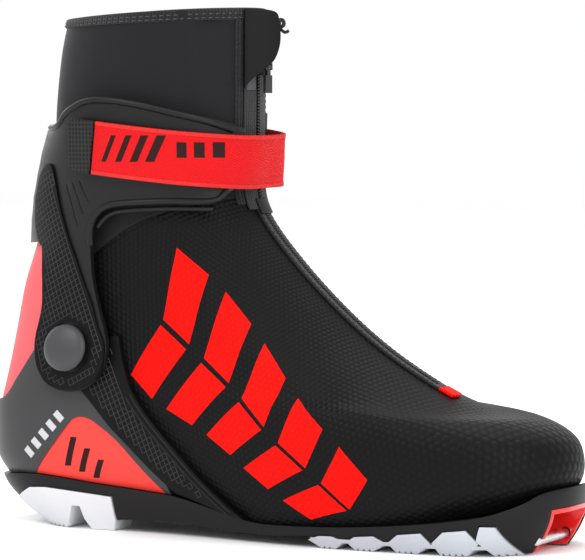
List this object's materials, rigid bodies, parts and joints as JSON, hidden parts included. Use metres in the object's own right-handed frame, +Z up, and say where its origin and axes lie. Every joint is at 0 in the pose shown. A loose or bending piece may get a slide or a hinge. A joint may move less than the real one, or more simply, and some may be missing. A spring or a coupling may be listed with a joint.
{
  "type": "cross-country ski boot",
  "caption": "Right combi cross-country ski boot with a hinged ankle cuff, strap, zipped softshell collar and a toe-bar sole.",
  "frame": {"origin": "on the ground under the middle of the boot's overall box", "axes": "+X points to the toe, +Y to the inner side of the foot, +Z up"},
  "size_m": [0.2712, 0.0952, 0.222],
  "materials": {
    "shell": "satin moulded plastic",
    "red_plastic": "gloss",
    "steel": "satin",
    "tread": "matt rubber",
    "foam": "felt",
    "vamp": "dimpled synthetic leather",
    "red_fabric": "smooth coated fabric",
    "softshell": "smooth softshell",
    "stretch": "stretch knit",
    "lining": "brushed knit",
    "knit": "ribbed knit tape",
    "lace": "braided cord",
    "counter": "satin",
    "grid": "fine grid texture",
    "zip": "satin",
    "cuff": "satin",
    "rivet": "satin",
    "hook_loop": "hook and loop",
    "webbing": "woven webbing",
    "grip": "ribbed",
    "tab": "smooth"
  },
  "bodies": {
    "lower_boot": {"sole_plate": "shell", "toe_insert": "red_plastic", "toe_bar": "steel", "heel_tread": "tread", "forefoot_tread_lateral": "tread", "forefoot_tread_medial": "tread", "lasting_board": "foam", "insole": "foam", "vamp_shell": "vamp", "heel_panel": "red_fabric", "ankle_gaiter": "softshell", "gaiter_lining": "lining", "zip_bend": "knit", "lining": "lining", "tongue": "lining", "inner_lace": "lace", "eyestay_lateral": "knit", "eyestay_medial": "knit", "heel_counter": "counter", "inset_lateral": "red_plastic", "inset_medial": "red_plastic", "stabiliser_arm_lateral": "grid", "stabiliser_arm_medial": "grid", "instep_zip_tape": "knit", "instep_zip_teeth": "zip", "zip_end_tag": "red_fabric"},
    "cuff": {"cuff_shell": "cuff", "cuff_grip_lateral": "grid", "cuff_grip_medial": "grid", "pivot_rivet_lateral": "rivet", "pivot_rivet_medial": "rivet", "pivot_nut_lateral": "steel", "pivot_nut_medial": "steel", "collar_shell": "softshell", "collar_rear_panel": "stretch", "heel_panel_upper": "red_fabric", "collar_lining": "lining", "collar_binding": "knit", "zip_tape_lateral": "knit", "zip_tape_medial": "knit", "zip_teeth": "zip", "strap_anchor": "steel", "strap_loop_patch": "hook_loop"},
    "strap": {"strap_webbing": "webbing", "strap_grip": "grip", "strap_hook_patch": "hook_loop"},
    "zip_slider": {"zip_slider": "zip"},
    "zip_pull": {"zip_pull": "knit"},
    "collar_tab": {"collar_tab": "tab"}
  },
  "joints": [
    {"name": "cuff_flex", "type": "hinge", "parent": "lower_boot", "child": "cuff", "pos_m": [-0.0803, 0, 0.0787], "axis": [0, 1, 0], "range_deg": [-4, 15], "stiffness_Nm_per_rad": 5, "deforming": ["ankle_gaiter", "gaiter_lining", "zip_bend"]},
    {"name": "strap_swing", "type": "hinge", "parent": "cuff", "child": "strap", "pos_m": [-0.03609, 0.04294, 0.1604], "axis": [0, 0, 1], "range_deg": [0, 110]},
    {"name": "zip_slide", "type": "slide", "parent": "cuff", "child": "zip_slider", "axis": [0, 0, -1], "range_m": [0, 0.014]},
    {"name": "zip_pull_swing", "type": "hinge", "parent": "zip_slider", "child": "zip_pull", "pos_m": [-0.0064, 0, 0.197], "axis": [0, -1, 0], "range_deg": [0, 85]},
    {"name": "collar_tab_swing", "type": "hinge", "parent": "cuff", "child": "collar_tab", "pos_m": [-0.01151, -0.01127, 0.205], "axis": [0, 0, -1], "range_deg": [0, 95]}
  ]
}
